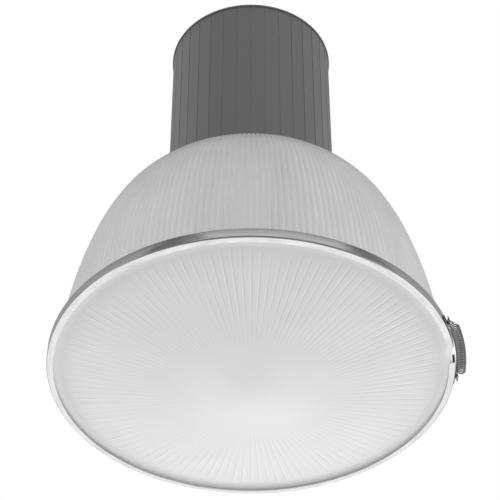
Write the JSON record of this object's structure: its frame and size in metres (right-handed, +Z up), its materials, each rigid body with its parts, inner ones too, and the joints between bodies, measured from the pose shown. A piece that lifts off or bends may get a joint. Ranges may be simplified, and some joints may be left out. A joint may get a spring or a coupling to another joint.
{
  "type": "high bay light",
  "caption": "High bay light: a fluted gear housing over a ribbed prismatic dome, closed below by a prismatic lens in a sprung clamp band, and hung by a drilled plate.",
  "frame": {"origin": "centre of the hole in the hanger plate, where the light hangs", "axes": "+Z up, along the light's own axis; +Y along the hole; +X towards the side of the cable gland and of the clamp band's spring"},
  "size_m": [0.4929, 0.4799, 0.6393],
  "materials": {
    "housing": "powder-coated, satin",
    "cover": "powder-coated, satin",
    "base": "powder-coated, satin",
    "dome": "moulded acrylic with upright ribs",
    "lens": "moulded acrylic with radial prisms",
    "band": "stainless, satin",
    "spring": "spring wire",
    "hardware": "zinc-plated",
    "hanger": "zinc-plated",
    "gasket": "matt",
    "gland": "matt",
    "holder": "glazed",
    "contact": "plain",
    "lamp": "frosted outer bulb",
    "core": "laminated steel, varnished",
    "winding": "taped copper winding",
    "ignitor": "potted case",
    "can": "drawn can",
    "terminal": "moulded"
  },
  "bodies": {
    "root": {"gear_housing": "housing", "base_plate": "base", "base_gasket": "gasket", "base_screws": "hardware", "top_cover": "cover", "top_cover_gasket": "gasket", "top_cover_screws": "hardware", "hanger_plate": "hanger", "hanger_screws": "hardware", "gland_body": "gland", "gland_seal": "gasket", "gland_cap_nut": "gland", "gland_locknut": "gland", "neck_gasket": "gasket", "retaining_collar": "hardware", "collar_screws": "hardware", "prismatic_dome": "dome", "rim_gasket": "gasket", "prismatic_lens": "lens", "clamp_band": "band", "near_hook": "band", "far_hook": "band", "band_spring": "spring", "lampholder_bridge": "hardware", "bridge_screws": "hardware", "holder_screws": "hardware", "lampholder": "holder", "lampholder_shell": "contact", "lamp": "lamp", "gear_tray": "hardware", "tray_screws": "hardware", "ballast_bolts": "hardware", "ear_bolts": "hardware", "terminal_bolt": "hardware", "gear_nuts": "hardware", "ballast_core": "core", "ballast_winding": "winding", "ignitor": "ignitor", "capacitor": "can", "capacitor_clip": "hardware", "terminal_block": "terminal"}
  },
  "joints": []
}
